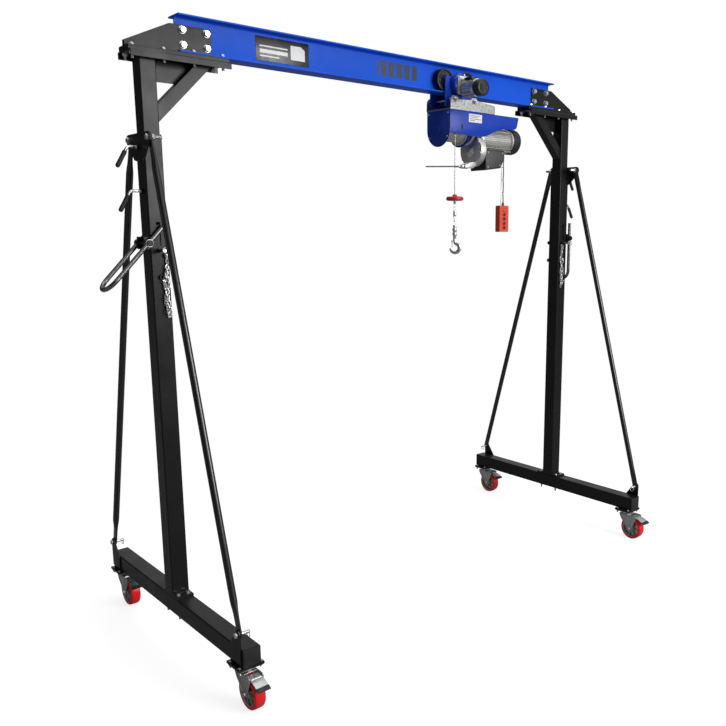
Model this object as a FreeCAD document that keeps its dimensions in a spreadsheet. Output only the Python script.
import FreeCAD, Part
import math
import os
import re
import Sketcher

# Portable gantry crane with a trolley and a rope hoist. Millimetres. X runs along the beam,
# Z is up from the floor, and the origin is on the floor at mid-span. -Y is the control side
# and is called the front.

os.makedirs("parts", exist_ok=True)
doc = FreeCAD.newDocument("GantryCrane")
V = FreeCAD.Vector
Rotation = FreeCAD.Rotation

# ---------------------------------------------------------------- driving dimensions
# alias, value or formula, meaning
DIMS = [
    ("upright_x", 1337, "mast centre from mid-span"),
    ("mast_wide", 80, "outer mast, square"),
    ("mast_wall", 4, "outer mast wall"),
    ("mast_top", 2281, "top of the outer mast tube"),
    ("inner_wide", 70, "inner mast, square"),
    ("inner_wall", 4, "inner mast wall"),
    ("inner_low", 330, "bottom of the inner mast at its lowest setting"),
    ("beam_long", 2400, "I-beam length"),
    ("seat_z", 2598.6, "top of the support channel"),
    ("bracket_foot", 18, "thickness of the bracket foot under the beam"),
    ("beam_low", "=seat_z+bracket_foot", "underside of the I-beam"),
    ("beam_high", 150, "I-beam depth"),
    ("flange_wide", 96, "I-beam flange width"),
    ("flange_thk", 7, "I-beam flange thickness"),
    ("web_thk", 6, "I-beam web thickness"),
    ("head_in", 978, "inner end of the support channel"),
    ("head_out", 1415, "outer end of the support channel"),
    ("head_wide", 131, "support channel width"),
    ("head_thk", 6, "support channel thickness"),
    ("head_deep", 27, "support channel depth"),
    ("knee_wide", 50, "knee brace tube"),
    ("plate_thk", 6, "bracket plate thickness"),
    ("base_long", 1340, "base tube length"),
    ("base_low", 185, "underside of the base tube"),
    ("base_top", "=base_low+mast_wide", "top of the base tube"),
    ("foot_thk", 10, "mast foot plate thickness"),
    ("mast_low", "=base_top+foot_thk", "underside of the outer mast tube"),
    ("caster_y", 615, "caster swivel axis from the mast"),
    ("pad_x", 114, "caster pad along X"),
    ("pad_y", 106, "caster pad along Y"),
    ("pad_thk", 10, "caster pad thickness"),
    ("foot_y", 170, "mast foot plate along Y"),
    ("lug_y", 643, "lower brace pin from the mast"),
    ("lug_z", 324, "lower brace pin height"),
    ("ear_y", 96, "upper brace bolt from the mast"),
    ("ear_z", 2262, "upper brace bolt height"),
    ("brace_r", 15, "brace tube radius"),
    ("brace_wall", 2.5, "brace tube wall"),
    ("hole_pitch", 112, "lock hole pitch"),
    ("lock_z", 1812, "lock pin height"),
    ("stub_z", "=lock_z-hole_pitch", "second guide bush height"),
    ("pin_r", 7, "lock pin radius"),
    ("fit_gap", 0.05, "running clearance on a radius"),
    ("screw_hi", 2229, "upper clamp screw height"),
    ("screw_lo", 2053, "lower clamp screw height"),
    ("screw_r", 6, "clamp screw radius"),
    ("jack_x", 50, "jack lever pivot out from the mast centre"),
    ("jack_z", 1842, "jack lever pivot height"),
    ("jack_r", 9.5, "jack lever bar radius"),
    ("jack_y", 53, "jack lever arm from the mast centre plane"),
    ("wheel_r", 70, "caster wheel radius"),
    ("wheel_wide", 50, "caster wheel width"),
    ("trail", 45, "caster trail"),
    ("axle_r", 6, "caster axle radius"),
    ("troll_a", 298, "trolley wheel axle, first"),
    ("troll_b", 465, "trolley wheel axle, second"),
    ("troll_r", 58, "trolley wheel radius"),
    ("troll_mid", 374, "trolley gear case centre"),
    ("side_y", 54, "inner face of a trolley side plate"),
    ("side_thk", 8, "trolley side plate thickness"),
    ("cross_a", 322, "hanger bolt, first"),
    ("cross_b", 467, "hanger bolt, second"),
    ("cross_z", 2582, "hanger bolt height"),
    ("cross_r", 6.9, "hanger bolt radius"),
    ("hoist_left", 288, "outer face of the hoist end plate"),
    ("hoist_right", 835, "right end of the hoist housing"),
    ("hoist_top", 2530, "top of the hoist housing"),
    ("hoist_half", 91, "half depth of the hoist housing"),
    ("skin", 3, "hoist sheet thickness"),
    ("drum_z", 2430, "rope drum axis height"),
    ("drum_r", 57, "rope drum radius"),
    ("rope_x", 357, "rope position along X"),
    ("rope_r", 2.5, "rope radius"),
    ("hook_y", -60, "rope position along Y"),
]
sheet = doc.addObject("Spreadsheet::Sheet", "Dims")
for row, (alias, value, note) in enumerate(DIMS, start=1):
    sheet.set(f"A{row}", alias)
    sheet.set(f"B{row}", str(value))
    sheet.set(f"C{row}", note)
    sheet.setAlias(f"B{row}", alias)
doc.recompute()

probe = doc.addObject("App::FeaturePython", "Probe")
probe.addProperty("App::PropertyFloat", "Value")

ALIASES = re.compile(r"\b(" + "|".join(row[0] for row in DIMS) + r")\b")
SIDES = (-1, 1)          # sign along X or Y
BOLT_GAP = 0.5           # bolt hole over bolt, on the radius
ALONG = {"Z": Rotation(), "X": Rotation(V(0, 1, 0), 90), "Y": Rotation(V(1, 0, 0), -90)}
made = {"count": 0}
pieces = {}


# ---------------------------------------------------------------- expressions and placing
def expression(text):
    """Points each alias in the text at the sheet."""
    return ALIASES.sub(r"Dims.\1", f"({text})")


def number(value):
    """Present value of an expression over the sheet."""
    if isinstance(value, (int, float)):
        return float(value)
    probe.setExpression("Value", expression(value))
    probe.recompute()
    return float(probe.Value)


def unique(stem):
    made["count"] += 1
    return f"{stem}_{made['count']:03d}"


def add(kind, stem, **sizes):
    """New object with each named size bound to an expression."""
    obj = doc.addObject(kind, unique(stem))
    for name, value in sizes.items():
        obj.setExpression(name, expression(value))
    return obj


def place(obj, x, y, z, rotation=None):
    if rotation is not None:
        obj.Placement = FreeCAD.Placement(V(0, 0, 0), rotation)
    for name, value in (("x", x), ("y", y), ("z", z)):
        obj.setExpression("Placement.Base." + name, expression(value))
    return obj


def turned(obj, axis, angle, x, y, z):
    """Turns a finished shape about an axis through a point."""
    rotation, centre = Rotation(axis, angle), V(x, y, z)
    obj.Placement = FreeCAD.Placement(centre - rotation.multVec(centre), rotation)
    return obj


def keep(obj, label):
    """Labels a finished piece and lists it for export."""
    obj.Label = label
    pieces[label] = obj


# ---------------------------------------------------------------- solids
def box(x_low, x_high, y_low, y_high, z_low, z_high):
    block = add("Part::Box", "box", Length=f"({x_high})-({x_low})",
                Width=f"({y_high})-({y_low})", Height=f"({z_high})-({z_low})")
    return place(block, x_low, y_low, z_low)


def lay_along(obj, axis, low, first, second):
    """Lays a Z-built solid along an axis; first and second are the other two, in X, Y, Z order."""
    start = {"X": (low, first, second), "Y": (first, low, second), "Z": (first, second, low)}
    return place(obj, *start[axis], rotation=ALONG[axis])


def cylinder(axis, radius, low, high, first, second):
    obj = add("Part::Cylinder", "cylinder", Radius=radius, Height=f"({high})-({low})")
    return lay_along(obj, axis, low, first, second)


def hexagon(axis, radius, low, high, first, second):
    obj = add("Part::Prism", "hexagon", Circumradius=radius, Height=f"({high})-({low})")
    obj.Polygon = 6
    return lay_along(obj, axis, low, first, second)


def ring(radius, bar_radius, x, y, z, rotation=ALONG["X"], sweep=360):
    obj = add("Part::Torus", "ring", Radius1=radius, Radius2=bar_radius)
    obj.Angle3 = sweep
    return place(obj, x, y, z, rotation)


def ball(radius, x, y, z):
    return place(add("Part::Sphere", "ball", Radius=radius), x, y, z)


def rounded(base, axis, radius):
    """Rounds the four long edges of a box, as on rolled square tube."""
    doc.recompute()
    edges = []
    for index, edge in enumerate(base.Shape.Edges, start=1):
        direction = edge.tangentAt(edge.FirstParameter)
        if abs(getattr(direction, axis)) > 0.99:
            edges.append((index, radius, radius))
    obj = doc.addObject("Part::Fillet", unique("round"))
    obj.Base = base
    obj.Edges = edges
    return obj


def fuse(shapes):
    obj = doc.addObject("Part::MultiFuse", unique("fuse"))
    obj.Shapes = shapes
    return obj


def group(shapes):
    obj = doc.addObject("Part::Compound", unique("group"))
    obj.Links = shapes
    return obj


def cut(base, tools):
    obj = doc.addObject("Part::Cut", unique("cut"))
    obj.Base = base
    obj.Tool = tools[0] if len(tools) == 1 else fuse(tools)
    return obj


def bolt(axis, radius, low, high, first, second, tail=0):
    """Bolt with its head on the face at high and its nut at low; tail is thread past the nut."""
    head, nut = f"1.3*{radius}", f"1.7*{radius}"
    head_radius = f"1.75*{radius}"
    return fuse([
        cylinder(axis, radius, f"({low})-{nut}-{tail}", f"({high})+{head}/2", first, second),
        hexagon(axis, head_radius, high, f"({high})+{head}", first, second),
        hexagon(axis, head_radius, f"({low})-{nut}", low, first, second),
    ])


# ---------------------------------------------------------------- sketched solids
def profile(body, plane, outline, holes=()):
    """Closed sketch on an origin plane: outline rows are (u, v), hole rows (u, v, radius)."""
    sketch = body.newObject("Sketcher::SketchObject", unique("sketch"))
    support = [f for f in body.Origin.OriginFeatures if f.Role == plane][0]
    sketch.AttachmentSupport = [(support, "")]
    sketch.MapMode = "FlatFace"
    total = len(outline)
    points = [V(number(u), number(v), 0) for u, v in outline]
    for k in range(total):
        sketch.addGeometry(Part.LineSegment(points[k], points[(k + 1) % total]), False)
    for k in range(total):
        sketch.addConstraint(Sketcher.Constraint("Coincident", k, 2, (k + 1) % total, 1))
    for k, (u, v) in enumerate(outline):
        for kind, source, value in (("DistanceX", u, points[k].x), ("DistanceY", v, points[k].y)):
            index = sketch.addConstraint(Sketcher.Constraint(kind, k, 1, value))
            name = f"p{k}{kind[-1]}"
            sketch.renameConstraint(index, name)
            # Only positive distances are bound; the sign of the others sets their side.
            if value > 0:
                sketch.setExpression("Constraints." + name, expression(source))
    for k, (u, v, radius) in enumerate(holes):
        centre = V(number(u), number(v), 0)
        circle = sketch.addGeometry(Part.Circle(centre, V(0, 0, 1), number(radius)), False)
        sketch.addConstraint(Sketcher.Constraint("DistanceX", circle, 3, centre.x))
        sketch.addConstraint(Sketcher.Constraint("DistanceY", circle, 3, centre.y))
        index = sketch.addConstraint(Sketcher.Constraint("Radius", circle, number(radius)))
        sketch.renameConstraint(index, f"r{k}")
        sketch.setExpression(f"Constraints.r{k}", expression(radius))
    return sketch


def pad(plane, outline, length, x=0, y=0, z=0, holes=()):
    """Plate or section: XY pads to +Z, XZ pads to -Y, YZ pads to +X."""
    body = doc.addObject("PartDesign::Body", unique("body"))
    sketch = profile(body, plane, outline, holes)
    feature = body.newObject("PartDesign::Pad", unique("pad"))
    feature.Profile = sketch
    feature.setExpression("Length", expression(length))
    body.Tip = feature
    return place(body, x, y, z)


def revolve(plane, outline, x=0, y=0, z=0, rotation=None):
    """Full turn of an outline of (radius, height) rows about the sketch's vertical axis."""
    body = doc.addObject("PartDesign::Body", unique("body"))
    sketch = profile(body, plane, outline)
    feature = body.newObject("PartDesign::Revolution", unique("revolution"))
    feature.Profile = sketch
    feature.ReferenceAxis = (sketch, ["V_Axis"])
    feature.Angle = 360
    body.Tip = feature
    return place(body, x, y, z, rotation)


def mirrored(sign, points):
    return [(sign * u, v) for u, v in points]


def shifted(centre, points):
    return [(f"{centre}+({u})", v) for u, v in points]


def on_side(points, side):
    return [point for point in points if point[0] * side > 0]


# ---------------------------------------------------------------- upper frame
BEAM_BOLT_R = 6
WEB_BOLT_R = 8
BEAM_HOLE_R = BEAM_BOLT_R + BOLT_GAP
WEB_HOLE_R = WEB_BOLT_R + BOLT_GAP
WEB_BOLTS = [(side * x, z) for side in SIDES for x in (1168, 1060) for z in (2711, 2652)]
IN_BOLTS = [(side * x, y) for side in SIDES for x in (1135, 1003) for y in (-35, 35)]
OUT_BOLTS = [(side * x, y) for side in SIDES for x in (1397, 1266) for y in (-35, 35)]
FLANGE_TOP = "beam_low+flange_thk"
CHANNEL_ROOF = "seat_z-head_thk"

BRACKET_END = 1417
# Web bracket, right-hand end: x, z
BRACKET_OUTLINE = [
    (BRACKET_END, "beam_low"), (1200.5, "beam_low"), (1200.5, FLANGE_TOP), (1040, FLANGE_TOP),
    (1040, 2730), (1223, 2730), (BRACKET_END, 2638),
]

KNEE_LOW, KNEE_HIGH = 2328.0, 2398.7   # where the 45 degree knee brace meets the mast face
KNEE_SIDE_WALL = 3
KNEE_WALL_RISE = 4                     # sloping wall, measured vertically


def i_beam():
    half, web = "flange_wide/2", "web_thk/2"
    under_top = "beam_high-flange_thk"
    section = [
        (f"-({half})", 0), (half, 0), (half, "flange_thk"), (web, "flange_thk"),
        (web, under_top), (half, under_top), (half, "beam_high"),
        (f"-({half})", "beam_high"), (f"-({half})", under_top),
        (f"-({web})", under_top), (f"-({web})", "flange_thk"), (f"-({half})", "flange_thk"),
    ]
    beam = pad("YZ_Plane", section, "beam_long", x="-beam_long/2", z="beam_low")
    web_holes = [cylinder("Y", WEB_HOLE_R, -20, 20, x, z) for x, z in WEB_BOLTS]
    flange_holes = [cylinder("Z", BEAM_HOLE_R, "beam_low-5", FLANGE_TOP + "+5", x, y)
                    for x, y in IN_BOLTS]
    return cut(beam, web_holes + flange_holes)


def web_bracket_plates():
    """Plates on both sides of the web at each beam end, each with a foot under the beam."""
    plates = []
    for side in SIDES:
        for face in SIDES:
            web = pad("XZ_Plane", mirrored(side, BRACKET_OUTLINE), "plate_thk",
                      y="web_thk/2+plate_thk" if face > 0 else "-web_thk/2",
                      holes=[(x, z, WEB_HOLE_R) for x, z in on_side(WEB_BOLTS, side)])
            x_span = ("head_in", BRACKET_END) if side > 0 else (-BRACKET_END, "-head_in")
            y_span = ("web_thk/2", 48) if face > 0 else (-48, "-web_thk/2")
            holes = [cylinder("Z", BEAM_HOLE_R, "seat_z-5", "beam_low+5", x, y)
                     for x, y in on_side(IN_BOLTS + OUT_BOLTS, side) if y * face > 0]
            foot = cut(box(*x_span, *y_span, "seat_z", "beam_low"), holes)
            plates.append(fuse([web, foot]))
    return group(plates)


def mast_heads():
    """Inverted-U channel under each beam end, with a knee brace and a gusset to the mast."""
    half = "head_wide/2"
    lip, corner = "seat_z-head_deep", "seat_z-3"
    section = [
        (f"-({half})", lip), (f"-({half})+head_thk", lip),
        (f"-({half})+head_thk", CHANNEL_ROOF), (f"{half}-head_thk", CHANNEL_ROOF),
        (f"{half}-head_thk", lip), (half, lip), (half, corner),
        (f"{half}-3", "seat_z"), (f"-({half})+3", "seat_z"), (f"-({half})", corner),
    ]
    face = number("upright_x-inner_wide/2")
    roof = number(CHANNEL_ROOF)

    def knee(low, high):
        return [(face, low), (face - (roof - low), roof), (face - (roof - high), roof),
                (face, high)]

    heads = []
    for side in SIDES:
        channel = pad("YZ_Plane", section, "head_out-head_in",
                      x="head_in" if side > 0 else "-head_out")
        channel = cut(channel, [cylinder("Z", BEAM_HOLE_R, "seat_z-20", "seat_z+5", x, y)
                                for x, y in on_side(IN_BOLTS + OUT_BOLTS, side)])
        tube = pad("XZ_Plane", mirrored(side, knee(KNEE_LOW, KNEE_HIGH)), "knee_wide",
                   y="knee_wide/2")
        bore_outline = knee(KNEE_LOW + KNEE_WALL_RISE, KNEE_HIGH - KNEE_WALL_RISE)
        bore = pad("XZ_Plane", mirrored(side, bore_outline), f"knee_wide-2*{KNEE_SIDE_WALL}",
                   y=f"knee_wide/2-{KNEE_SIDE_WALL}")
        gusset_outline = [(face - 2, 2496), (1200, 2496), (1098, roof + 1), (face - 2, roof + 1)]
        gusset = pad("XZ_Plane", mirrored(side, gusset_outline), 6, y=22)
        heads.append(fuse([channel, cut(tube, [bore]), gusset]))
    return group(heads)


def inner_masts():
    """Square tubes with a ladder of lock holes through the front and rear walls."""
    masts = []
    half, bore = "inner_wide/2", "inner_wide/2-inner_wall"
    for side in SIDES:
        mast_x = f"{side}*upright_x"
        outside = box(f"{mast_x}-{half}", f"{mast_x}+{half}", f"-{half}", half,
                      "inner_low", CHANNEL_ROOF)
        inside = box(f"{mast_x}-({bore})", f"{mast_x}+{bore}", f"-({bore})", bore,
                     "inner_low-10", CHANNEL_ROOF + "+10")
        holes = [cylinder("Y", f"pin_r+{BOLT_GAP}", -60, 60, mast_x, f"stub_z+({k})*hole_pitch")
                 for k in range(-10, 5)]
        masts.append(cut(rounded(outside, "z", 5), [inside] + holes))
    return group(masts)


def beam_bolts():
    bolts = [bolt("Z", BEAM_BOLT_R, CHANNEL_ROOF, FLANGE_TOP, x, y, tail=12) for x, y in IN_BOLTS]
    bolts += [bolt("Z", BEAM_BOLT_R, CHANNEL_ROOF, "beam_low", x, y, tail=12)
              for x, y in OUT_BOLTS]
    bolts += [bolt("Y", WEB_BOLT_R, "-web_thk/2-plate_thk", "web_thk/2+plate_thk", x, z, tail=4)
              for x, z in WEB_BOLTS]
    return group(bolts)


keep(i_beam(), "i_beam")
keep(web_bracket_plates(), "web_bracket_plates")
keep(mast_heads(), "mast_heads")
keep(inner_masts(), "inner_masts")
keep(beam_bolts(), "beam_bolts")

# ---------------------------------------------------------------- legs
FOOT_BOLTS = [(x, y) for x in (-22, 22) for y in (-60, 60)]      # from the mast centre
PAD_BOLTS = [(x, y) for x in (-47.5, 47.5) for y in (-38, 38)]   # from the swivel axis
FOOT_BOLT_R = 5
PAD_BOLT_R = 4
BRACE_PIN_R = 7
BRACE_HOLE_R = 7.1
BRACE_OUT = 34.9         # brace centre plane, outward from the mast centre
BRACE_FLAT = 112         # length of a flattened brace end
KING_R = 11.9            # caster king pin
PLATE_UNDER = 5          # thickness of the caster top plate
SCREW_BORE = "screw_r+fit_gap"
PIN_BORE = "pin_r+fit_gap"
JACK_BEND_Z = -206       # start of the U bend, from the pivot
CRANK_OUT = 91           # clamp screw end, outward from the mast centre

# Brace lug on the base, rear end: y, z
LUG_OUTLINE = [
    (660, 198), (660, 330), (652, 342), (643, 345), (633, 342), (626, 332), (572, 258), (572, 198),
]
# Collar plate near the top of the outer mast: y, z
COLLAR_OUTLINE = [
    (-46, 2177), (46, 2177), (116, 2250), (118, 2266), (110, 2280), (100, 2284),
    (-100, 2284), (-110, 2280), (-118, 2266), (-116, 2250),
]


def outward(side, distance):
    """X at a distance outward from the mast centre."""
    return f"{side}*(upright_x+({distance}))"


def span(side, near, far):
    """Two X expressions in rising order for outward distances near < far."""
    return outward(side, min(side, 0) and far or near), outward(side, near if side < 0 else far)


def outer_face_x(side):
    """Low X of a plate lying on the outward face of the mast or base."""
    return span(side, "mast_wide/2", "mast_wide/2+plate_thk")[0]


def outer_mast(side):
    mast_x = f"{side}*upright_x"
    half, bore = "mast_wide/2", "mast_wide/2-mast_wall"
    tube = box(f"{mast_x}-{half}", f"{mast_x}+{half}", f"-{half}", half, "mast_low", "mast_top")
    foot = box(f"{mast_x}-40", f"{mast_x}+40", "-foot_y/2", "foot_y/2",
               "mast_low-foot_thk", "mast_low")
    tools = [
        box(f"{mast_x}-({bore})", f"{mast_x}+{bore}", f"-({bore})", bore,
            "mast_low", "mast_top+10"),
        box(f"{mast_x}-9", f"{mast_x}+9", -60, 60, 1830, 1928),
    ]
    tools += [cylinder("Y", PIN_BORE, -60, 60, mast_x, z) for z in ("lock_z", "stub_z")]
    tools += [cylinder("X", SCREW_BORE, *span(side, 0, 60), 0, z)
              for z in ("screw_hi", "screw_lo")]
    tools += [cylinder("Z", FOOT_BOLT_R + BOLT_GAP, "mast_low-20", "mast_low+10",
                       f"{mast_x}+({x})", y) for x, y in FOOT_BOLTS]
    return cut(fuse([rounded(tube, "z", 6), foot]), tools)


def base_beam(side):
    """Closed square tube with caster pads and a brace lug at each end of its outward face."""
    mast_x = f"{side}*upright_x"
    half, inset = "mast_wide/2", "mast_wide/2-4"
    outside = box(f"{mast_x}-{half}", f"{mast_x}+{half}", "-base_long/2", "base_long/2",
                  "base_low", "base_top")
    inside = box(f"{mast_x}-({inset})", f"{mast_x}+{inset}", "-base_long/2+5", "base_long/2-5",
                 "base_low+4", "base_top-4")
    holes = [cylinder("Z", FOOT_BOLT_R + BOLT_GAP, "base_low-5", "base_top+5",
                      f"{mast_x}+({x})", y) for x, y in FOOT_BOLTS]
    parts = [cut(rounded(outside, "y", 6), [inside] + holes)]
    for end in SIDES:
        swivel_y = f"{end}*caster_y"
        plate = box(f"{mast_x}-pad_x/2", f"{mast_x}+pad_x/2",
                    f"{swivel_y}-pad_y/2", f"{swivel_y}+pad_y/2", "base_low-pad_thk", "base_low")
        parts.append(cut(plate, [
            cylinder("Z", PAD_BOLT_R + BOLT_GAP, "base_low-30", "base_low+10",
                     f"{mast_x}+({x})", f"{swivel_y}+({y})") for x, y in PAD_BOLTS]))
        parts.append(pad("YZ_Plane", mirrored(end, LUG_OUTLINE), "plate_thk",
                         x=outer_face_x(side), holes=[(f"{end}*lug_y", "lug_z", BRACE_HOLE_R)]))
    return fuse(parts)


def brace_tubes(side):
    """Tubes with flattened, drilled ends, running from the base lugs to the mast collar."""
    run, rise = number("lug_y-ear_y"), number("ear_z-lug_z")
    length = math.hypot(run, rise)
    braces = []
    for end in SIDES:
        solids = [cylinder("Z", "brace_r", 95, length - 95, 0, 0)]
        for z, low, high in ((0, 0, BRACE_FLAT), (length, length - BRACE_FLAT, length)):
            solids.append(box(-5, 5, -17, 17, low, high))
            solids.append(cylinder("X", 17, -5, 5, 0, z))
        tools = [cylinder("Z", "brace_r-brace_wall", 114, length - 114, 0, 0)]
        tools += [cylinder("X", BRACE_HOLE_R, -40, 40, 0, z) for z in (0, length)]
        tilt = math.degrees(math.atan2(run, rise)) * end
        braces.append(place(cut(fuse(solids), tools), outward(side, BRACE_OUT),
                            f"{end}*lug_y", "lug_z", Rotation(V(1, 0, 0), tilt)))
    return group(braces)


def mast_brackets(side):
    """Fittings on the outer mast: collar plate, screw bosses, pin bushes, jack pivot."""
    mast_x = f"{side}*upright_x"
    holes = [("-ear_y", "ear_z", BRACE_HOLE_R), ("ear_y", "ear_z", BRACE_HOLE_R),
             (0, "screw_hi", SCREW_BORE)]
    parts = [pad("YZ_Plane", COLLAR_OUTLINE, "plate_thk", x=outer_face_x(side), holes=holes)]
    for near, z in ((46, "screw_hi"), (40, "screw_lo")):
        ends = span(side, near, near + 8)
        parts.append(cut(hexagon("X", 11.5, *ends, 0, z),
                         [cylinder("X", SCREW_BORE, *ends, 0, z)]))
    for z, front_long in (("lock_z", 8), ("stub_z", 12)):
        for low, high in ((-40 - front_long, -40), (40, 76)):
            parts.append(cut(cylinder("Y", 11, low, high, mast_x, z),
                             [cylinder("Y", PIN_BORE, low - 5, high + 5, mast_x, z)]))
    pivot_x = outward(side, "jack_x")
    pivot = [box(*span(side, 40, 63), y, y + 7, 1816, 1868) for y in (-38, 31)]
    pivot.append(box(*span(side, 40, 46), -38, 38, 1816, 1868))
    pivot.append(cylinder("Y", 8, -65, 65, pivot_x, "jack_z"))
    pivot += [cylinder("Y", 13, y, y + 4, pivot_x, "jack_z") for y in (-69, 65)]
    parts.append(fuse(pivot))
    return group(parts)


def caster_mounting(side, end):
    """Caster top plate with its king pin, and the bolts that hold it to the pad."""
    mast_x, swivel_y = f"{side}*upright_x", f"{end}*caster_y"
    under = f"base_low-pad_thk-{PLATE_UNDER}"
    spots = [(f"{mast_x}+({x})", f"{swivel_y}+({y})") for x, y in PAD_BOLTS]
    plate = box(f"{mast_x}-55", f"{mast_x}+55", f"{swivel_y}-50", f"{swivel_y}+50",
                under, "base_low-pad_thk")
    king = cylinder("Z", KING_R, "base_low-pad_thk-21", "base_low-pad_thk-3", mast_x, swivel_y)
    holes = [cylinder("Z", PAD_BOLT_R + BOLT_GAP, 100, 260, x, y) for x, y in spots]
    bolts = [bolt("Z", PAD_BOLT_R, under, "base_low", x, y) for x, y in spots]
    return [fuse([cut(plate, holes), king])] + bolts


def brace_fixings(side, end):
    """Upper brace bolt, and the lower brace pin with its ring clip."""
    ear, lug = (f"{end}*ear_y", "ear_z"), (f"{end}*lug_y", "lug_z")
    upper = [
        cylinder("X", BRACE_PIN_R, *span(side, -15, 51), *ear),
        hexagon("X", 12.2, *span(side, 46, 55), *ear),
        hexagon("X", 12.2, *span(side, 17, 29.9), *ear),
    ]
    lower = [
        cylinder("X", BRACE_PIN_R, *span(side, -9, 51), *lug),
        cylinder("X", 12, *span(side, 46, 52), *lug),
        ring(11, 1.5, outward(side, -3), f"{end}*lug_y", "lug_z-10"),
    ]
    return [fuse(upper), fuse(lower)]


def chain(side):
    """Hanging chain of crossed links in front of the mast, and the peg near its top."""
    x = outward(side, -24)
    top_z, pitch = 1782, 14.5
    links = []
    for k in range(19):
        facing = Rotation(V(0, 0, 1), 90 * (k % 2)).multiply(ALONG["X"])
        links.append(ring(9, 2, x, -51.5, top_z - pitch * k, facing))
    return links + [cylinder("Y", 3, -65, -40, x, 1793)]


def leg_hardware(side):
    parts = [bolt("Z", FOOT_BOLT_R, "base_low", "mast_low", f"{side}*upright_x+({x})", y, tail=14)
             for x, y in FOOT_BOLTS]
    for end in SIDES:
        parts += caster_mounting(side, end) + brace_fixings(side, end)
    return group(parts + chain(side))


def jack_lever(side):
    """Round bar bent to a long U, with an eye on each arm at the pivot."""
    bars = []
    for arm, eye in ((-1, (-63, -43.2)), (1, (43.2, 63))):
        bars.append(cylinder("Z", "jack_r", JACK_BEND_Z, 95, 0, f"{arm}*jack_y"))
        bars.append(cylinder("Y", 16, *eye, 0, 0))
    # The half ring sweeps from -Y down through -Z to +Y.
    downward = Rotation(V(0, -1, 0), V(0, 0, -1), V(1, 0, 0), "XYZ")
    bars.append(ring("jack_y", "jack_r", 0, 0, JACK_BEND_Z, downward, sweep=180))
    lever = cut(fuse(bars), [cylinder("Y", "8+fit_gap", -80, 80, 0, 0)])
    swing = 44 if side < 0 else 0
    return place(lever, outward(side, "jack_x"), 0, "jack_z", Rotation(V(0, 1, 0), swing))


def lock_pin(side):
    """Pin with a pull ring, drawn back; it slides toward +Y through the lock holes."""
    mast_x = f"{side}*upright_x"
    return fuse([
        cylinder("Y", "pin_r", -91, "-inner_wide/2-1.2", mast_x, "lock_z"),
        cylinder("Y", 12, -97, -91, mast_x, "lock_z"),
        ring(10, 2, mast_x, -105, "lock_z"),
    ])


def clamp_handle(side, z):
    """Clamp screw with a cranked handle sloping down and outward."""
    screw = cylinder("X", "screw_r", *span(side, "inner_wide/2+0.4", CRANK_OUT), 0, z)
    elbow = ball("screw_r", outward(side, CRANK_OUT), 0, z)
    handle = fuse([cylinder("Z", 6, 0, 28, 0, 0), cylinder("Z", 9.5, 18, 88, 0, 0),
                   ball(9.5, 0, 0, 88)])
    slope = Rotation(V(0, 0, 1), V(side * 0.5, 0, -0.866))
    place(handle, outward(side, CRANK_OUT), 0, z, slope)
    return fuse([screw, elbow, handle])


for name, side in (("left", -1), ("right", 1)):
    keep(outer_mast(side), name + "_outer_mast")
    keep(base_beam(side), name + "_base_beam")
    keep(brace_tubes(side), name + "_brace_tubes")
    keep(mast_brackets(side), name + "_mast_brackets")
    keep(leg_hardware(side), name + "_leg_hardware")
    keep(jack_lever(side), name + "_jack_lever")
    keep(lock_pin(side), name + "_lock_pin")
    keep(clamp_handle(side, "screw_hi"), name + "_upper_clamp_handle")
    keep(clamp_handle(side, "screw_lo"), name + "_lower_clamp_handle")

# ---------------------------------------------------------------- casters
# Fork leg: y from the swivel axis, z
FORK_OUTLINE = [
    (-84, 154), (-84, 130), (-65, 62), ("-trail-12", 53), ("-trail+12", 53), (-20, 68),
    (34, 130), (34, 154),
]
# Brake pedal: y from the swivel axis, z
PEDAL_OUTLINE = [
    (-48, 142.5), (-48, 146.5), (-68, 145.5), (-102, 141), (-144, 118), (-146, 113.5),
    (-100, 136.5),
]
# Upper half of the wheel section, bore to tread: radius, distance from the wheel's mid-plane
WHEEL_OUTLINE = [
    ("axle_r+fit_gap", "wheel_wide/2"), (20, "wheel_wide/2"), (22, "wheel_wide/2-6"),
    (50, "wheel_wide/2-6"), (52, "wheel_wide/2"), ("wheel_r-5", "wheel_wide/2"),
    ("wheel_r", "wheel_wide/2-6"),
]


def caster_fork(mast_x, swivel_y):
    """Swivel fork with trailing legs, and the axle through both legs."""
    parts = [
        cut(cylinder("Z", 36, 156, 169.8, mast_x, swivel_y),
            [cylinder("Z", f"{KING_R}+fit_gap", 153.9, 180, mast_x, swivel_y)]),
        box(f"{mast_x}-33", f"{mast_x}+33", f"{swivel_y}-40", f"{swivel_y}+34", 148, 153.9),
        box(f"{mast_x}-33", f"{mast_x}-12.5", f"{swivel_y}-36", f"{swivel_y}+34", 150, 160),
        box(f"{mast_x}+12.5", f"{mast_x}+33", f"{swivel_y}-36", f"{swivel_y}+34", 150, 160),
    ]
    parts += [pad("YZ_Plane", shifted(swivel_y, FORK_OUTLINE), 4, x=f"{mast_x}+({x})")
              for x in (-33, 29)]
    axle = (f"{swivel_y}-trail", "wheel_r")
    parts.append(cylinder("X", "axle_r", f"{mast_x}-33", f"{mast_x}+33", *axle))
    parts += [hexagon("X", 11, f"{mast_x}+({x})", f"{mast_x}+({x + 8})", *axle)
              for x in (-41, 33)]
    return fuse(parts)


def caster_wheel(mast_x, swivel_y):
    """Tread over a dished core, bored for the axle."""
    outline = [(radius, f"-({height})") for radius, height in WHEEL_OUTLINE]
    outline += WHEEL_OUTLINE[::-1]
    return revolve("XY_Plane", outline, mast_x, f"{swivel_y}-trail", "wheel_r",
                   Rotation(V(0, 0, 1), -90))


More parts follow.
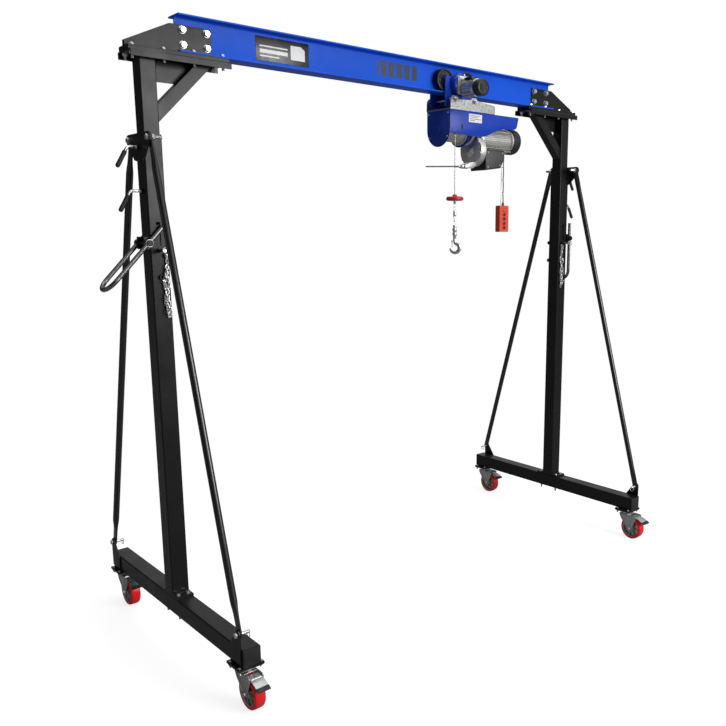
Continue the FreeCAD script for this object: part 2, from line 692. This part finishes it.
def brake_pedal(mast_x, swivel_y):
    """Pedal on a cross rod between the fork legs."""
    sole = pad("YZ_Plane", shifted(swivel_y, PEDAL_OUTLINE), 56, x=f"{mast_x}-28")
    rod = cylinder("X", 5, f"{mast_x}-28.8", f"{mast_x}+28.8", f"{swivel_y}-78", 140)
    return fuse([sole, rod])


for side_name, side in (("left", -1), ("right", 1)):
    for end_name, end in (("front", -1), ("rear", 1)):
        name = f"caster_{side_name}_{end_name}"
        axis = (f"{side}*upright_x", f"{end}*caster_y")
        keep(caster_fork(*axis), name + "_fork")
        keep(caster_wheel(*axis), name + "_wheel")
        keep(brake_pedal(*axis), name + "_brake_pedal")

# ---------------------------------------------------------------- trolley
AXLE_Z = "beam_low+flange_thk+troll_r+0.02"
TROLLEY_AXLE_R = 9
HANGER_THK = 5
HANGER_HOLES = [(x, "cross_z", f"cross_r+{BOLT_GAP}") for x in ("cross_a", "cross_b")]

# Side plate: x, z
SIDE_OUTLINE = [(282, 2548), (487, 2548), (487, 2688), (474, 2702), (295, 2702), (282, 2688)]
# Front wheel section: radius, y
TROLLEY_WHEEL_OUTLINE = [
    (f"{TROLLEY_AXLE_R}+fit_gap", -46), (22, -46), (24, -42), (48, -42), (50, -46),
    ("troll_r-1", -46), ("troll_r", -43), ("troll_r", -13), (f"{TROLLEY_AXLE_R}+fit_gap", -13),
]
# Hanger cheeks: x, z. Both share the two ears; the lower right corners differ.
HANGER_EARS = [
    (484, 2600), (450, 2600), (443, 2588), (346, 2582), (340, 2600), (304, 2600), (290, 2584),
]
HANGER_FRONT = [("hoist_left", "hoist_top"), (632, "hoist_top"), (632, 2574), (489, 2588)]
HANGER_REAR = [("hoist_left", "hoist_top"), (487, "hoist_top"), (487, 2588)]


def mirrored_span(face, near, far):
    """Rising pair of Y values at distances near < far on one side of the centre plane."""
    return (near, far) if face > 0 else (f"-({far})", f"-({near})")


def trolley_side_plates():
    """Side plates with a stub axle, collar and boss for each wheel."""
    plates = []
    for face in SIDES:
        parts = [pad("XZ_Plane", SIDE_OUTLINE, "side_thk",
                     y="side_y+side_thk" if face > 0 else "-side_y", holes=HANGER_HOLES)]
        for x in ("troll_a", "troll_b"):
            for radius, near, far in ((TROLLEY_AXLE_R, 10, "side_y+side_thk"),
                                      (13, 7, 10), (16, 48, 54)):
                parts.append(cylinder("Y", radius, *mirrored_span(face, near, far), x, AXLE_Z))
            if face > 0:
                parts.append(hexagon("Y", 15, "side_y+side_thk", "side_y+side_thk+9", x, AXLE_Z))
        plates.append(fuse(parts))
    return group(plates)


def trolley_wheel_pair(x):
    return group([
        revolve("XY_Plane", [(radius, -face * y) for radius, y in TROLLEY_WHEEL_OUTLINE],
                x, 0, AXLE_Z) for face in SIDES])


def trolley_cross_bolts():
    reach = f"hoist_half+{HANGER_THK}"
    return group([bolt("Y", "cross_r", f"-({reach})", reach, x, "cross_z")
                  for x in ("cross_a", "cross_b")])


def trolley_hanger():
    """Upright channel between the trolley and the hoist."""
    reach = f"hoist_half+{HANGER_THK}"
    cheeks = [pad("XZ_Plane", outline + HANGER_EARS, HANGER_THK, y=y, holes=HANGER_HOLES)
              for outline, y in ((HANGER_FRONT, "-hoist_half"), (HANGER_REAR, reach))]
    floor = box("hoist_left", 632, f"-({reach})", reach, "hoist_top", f"hoist_top+{HANGER_THK}")
    return fuse(cheeks + [floor])


def trolley_gearmotor():
    return fuse([
        cylinder("Y", 58, -100, "-side_y-side_thk", "troll_mid", 2661),
        box(328, 430, -112, -100, 2604, 2700),
        cylinder("Y", 44, -208, -112, 380, 2634),
        cylinder("Y", 44, -253, -206, 382, 2630),
    ])


keep(trolley_side_plates(), "trolley_side_plates")
keep(trolley_wheel_pair("troll_a"), "trolley_wheel_pair_a")
keep(trolley_wheel_pair("troll_b"), "trolley_wheel_pair_b")
keep(trolley_cross_bolts(), "trolley_cross_bolts")
keep(trolley_hanger(), "trolley_hanger")
keep(trolley_gearmotor(), "trolley_gearmotor")

# ---------------------------------------------------------------- hoist
MOTOR_AXIS = (-14, 2401)         # y, z
LEVER_X, LEVER_Z = 424, 2240     # limit lever pivot
LEVER_PIVOT_R = 6
SHANK_R = 5                      # hook swivel shank
HOOK_TURN = -42                  # degrees about the rope, for the hook and its latch

# Front skin of the housing: x, z
FRONT_OUTLINE = [
    ("hoist_left", "hoist_top"), ("hoist_left", 2415), (447, 2405), (486, 2402), (573, 2411),
    (671, 2451), (790, 2462), (812, 2465), (826, 2482), ("hoist_right", 2524),
    ("hoist_right", "hoist_top"),
]
# Rear skin of the housing: x, z
REAR_OUTLINE = [("hoist_left", "hoist_top"), ("hoist_left", 2470), ("hoist_right", 2490),
                ("hoist_right", "hoist_top")]
# Left end plate, above the drum axis: y, z
END_OUTLINE = [("hoist_half", "hoist_top"), ("hoist_half", "drum_z"),
               ("-hoist_half", "drum_z"), ("-hoist_half", "hoist_top")]
# Control box: x, z
CONTROL_OUTLINE = [(558, 2222), (684, 2240), (714, 2296), (714, 2340), (558, 2340)]
# Rope stop disc: radius, z
DISC_OUTLINE = [
    (7.6, 2054), (41, 2052), (47, 2057), (48, 2064), (46, 2071), (39, 2075), (14, 2077),
    (11, 2087), (7.6, 2087),
]
# Rope end fitting, with a socket for the hook shank: radius, z
FITTING_OUTLINE = [
    (f"{SHANK_R}+fit_gap", 1910), (9, 1910), (10, 1925), (10, 1990), (7.5, 2030),
    (7.5, 2087.9), (0, 2087.9), (0, 1936), (f"{SHANK_R}+fit_gap", 1936),
]


def hoist_housing():
    under_top = "hoist_top-skin"
    bulkhead = fuse([cylinder("X", 83, 448, 454, 0, "drum_z"),
                     box(448, 454, "-hoist_half", "hoist_half", 2440, under_top)])
    shell = [
        pad("YZ_Plane", END_OUTLINE, "skin", x="hoist_left"),
        cylinder("X", "hoist_half", "hoist_left", "hoist_left+skin", 0, "drum_z"),
        box("hoist_left", "hoist_right", "-hoist_half", "hoist_half", under_top, "hoist_top"),
        pad("XZ_Plane", FRONT_OUTLINE, "skin", y="-hoist_half+skin"),
        pad("XZ_Plane", REAR_OUTLINE, "skin", y="hoist_half"),
        cut(bulkhead, [cylinder("X", 16, 440, 460, 0, "drum_z")]),
    ]
    return cut(fuse(shell), [cylinder("X", 12, 280, 300, 0, "drum_z")])


def rope_drum():
    """Drum, its two flanges and its shaft."""
    steps = (("drum_r", 296, 444), (74, 294, 299), (74, 441, 446), (11.9, 288, 481))
    return fuse([cylinder("X", radius, low, high, 0, "drum_z") for radius, low, high in steps])


def hoist_gearbox():
    """Gear case with two plates that carry the limit lever pivot."""
    case = [
        cylinder("X", 84, 491, 536, -41, 2329),
        cylinder("X", 70, 482, 536, -10, 2430),
        cylinder("X", 72, 536, 552, *MOTOR_AXIS),
        box(536, 552, -84, 30, 2310, 2400),
        box(412, 500, -84, -77, 2230, 2268),
        box(412, 500, -43, -36, 2230, 2268),
    ]
    pivot_hole = cylinder("Y", f"{LEVER_PIVOT_R}+fit_gap", -90, -30, LEVER_X, LEVER_Z)
    return cut(fuse(case), [pivot_hole])


def hoist_motor():
    return cut(cylinder("X", 66, 552, 815, *MOTOR_AXIS), [box(555, 728, -104, 30, 2300, 2342)])


def turned_about_rope(obj):
    return turned(obj, V(0, 0, 1), HOOK_TURN, number("rope_x"), number("hook_y"), 0)


def hook():
    """Swivel boss, shank and a round-bar bowl open through a quarter turn."""
    # The bowl starts at +Z and sweeps through +X and -Z to -X.
    upright = Rotation(V(0, 0, 1), V(1, 0, 0), V(0, 1, 0), "XYZ")
    stem = [cylinder("Z", radius, low, high, "rope_x", "hook_y") for radius, low, high in (
        (12, 1862, 1908), (SHANK_R, 1900, 1935), (9, 1840, 1865), (8, 1822, 1845))]
    bowl = ring(25, 9.5, "rope_x+2", "hook_y", 1795, upright, sweep=270)
    return turned_about_rope(fuse(stem + [bowl]))


def hook_latch():
    return turned_about_rope(fuse([
        cylinder("Y", 4, "hook_y-9", "hook_y+9", "rope_x-14", 1832),
        box("rope_x-14.8", "rope_x-11.8", "hook_y-7", "hook_y+7", 1797, 1832),
    ]))


def hoist_limit_lever():
    """Two parallel rods either side of the rope, pivoted on the gearbox plates."""
    lever = [cylinder("X", 3, 150, 425, y, LEVER_Z) for y in (-71, -49)]
    lever += [
        box(148, 156, -75, -45, 2236.5, 2243.5),
        box(400, 434, -76, -44, 2232, 2248),
        cylinder("Y", LEVER_PIVOT_R, -82, -38, LEVER_X, LEVER_Z),
    ]
    return turned(fuse(lever), V(0, 1, 0), -3, LEVER_X, 0, LEVER_Z)


keep(hoist_housing(), "hoist_housing")
keep(rope_drum(), "rope_drum")
keep(hoist_gearbox(), "hoist_gearbox")
keep(hoist_motor(), "hoist_motor")
keep(cylinder("X", 72, 815, 882, *MOTOR_AXIS), "hoist_fan_cover")
keep(pad("XZ_Plane", CONTROL_OUTLINE, 122, y=22), "hoist_control_box")
keep(cylinder("Z", "rope_r", 2088, "drum_z", "rope_x", "hook_y"), "hoist_rope")
keep(revolve("XZ_Plane", DISC_OUTLINE, "rope_x", "hook_y"), "rope_stop_disc")
keep(revolve("XZ_Plane", FITTING_OUTLINE, "rope_x", "hook_y"), "rope_end_fitting")
keep(hook(), "hook")
keep(hook_latch(), "hook_latch")
keep(hoist_limit_lever(), "hoist_limit_lever")

# ---------------------------------------------------------------- pendant
PENDANT_X, PENDANT_Y = 742, -60
PENDANT_TOP = 2034
CABLE_TOP = 2328
BUTTON_R = 9
BUTTON_HEIGHTS = [2008 - 25 * k for k in range(5)]
# Case: x from the pendant centre, z
CASE_OUTLINE = [
    (-38, 1888), (-34, 1883), (34, 1883), (38, 1888),
    (38, 2029), (34, PENDANT_TOP), (-34, PENDANT_TOP), (-38, 2029),
]


def pendant_case():
    case = pad("XZ_Plane", shifted(PENDANT_X, CASE_OUTLINE), 34, y=PENDANT_Y + 17)
    return cut(case, [cylinder("Y", BUTTON_R + 0.1, PENDANT_Y - 30, PENDANT_Y - 5, PENDANT_X, z)
                      for z in BUTTON_HEIGHTS])


def pendant_cable():
    """Cable and a thinner line beside it, joined by a bar and a cross pin at the top."""
    return fuse([
        cylinder("Z", 3.5, PENDANT_TOP, CABLE_TOP, PENDANT_X + 6, PENDANT_Y),
        cylinder("Z", 1.5, PENDANT_TOP, CABLE_TOP, PENDANT_X - 12, PENDANT_Y),
        box(PENDANT_X - 16, PENDANT_X + 12, PENDANT_Y - 6, PENDANT_Y + 6,
            CABLE_TOP - 6, CABLE_TOP),
        cylinder("Y", 4, PENDANT_Y - 8, PENDANT_Y + 8, PENDANT_X, CABLE_TOP - 3),
    ])


keep(pendant_case(), "pendant_case")
keep(pendant_cable(), "pendant_cable")
for k, z in enumerate(BUTTON_HEIGHTS, start=1):
    keep(cylinder("Y", BUTTON_R, PENDANT_Y - 22, PENDANT_Y - 12, PENDANT_X, z),
         f"pendant_button_{k}")

# ---------------------------------------------------------------- checks and export
doc.recompute()
bad = []
for obj in doc.Objects:
    if any(word in ("Invalid", "Error") for word in obj.State):
        bad.append(f"{obj.Name} ({obj.Label}): {obj.State}")
for label, obj in pieces.items():
    if obj.Shape.isNull() or not obj.Shape.isValid():
        bad.append(f"{label}: null or not valid")
    elif not obj.Shape.Solids:
        bad.append(f"{label}: no solid")
if bad:
    raise SystemExit("\n".join(bad))
for name in os.listdir("parts"):
    if name.endswith(".step"):
        os.remove(os.path.join("parts", name))
for label, obj in pieces.items():
    obj.Shape.exportStep(f"parts/{label}.step")
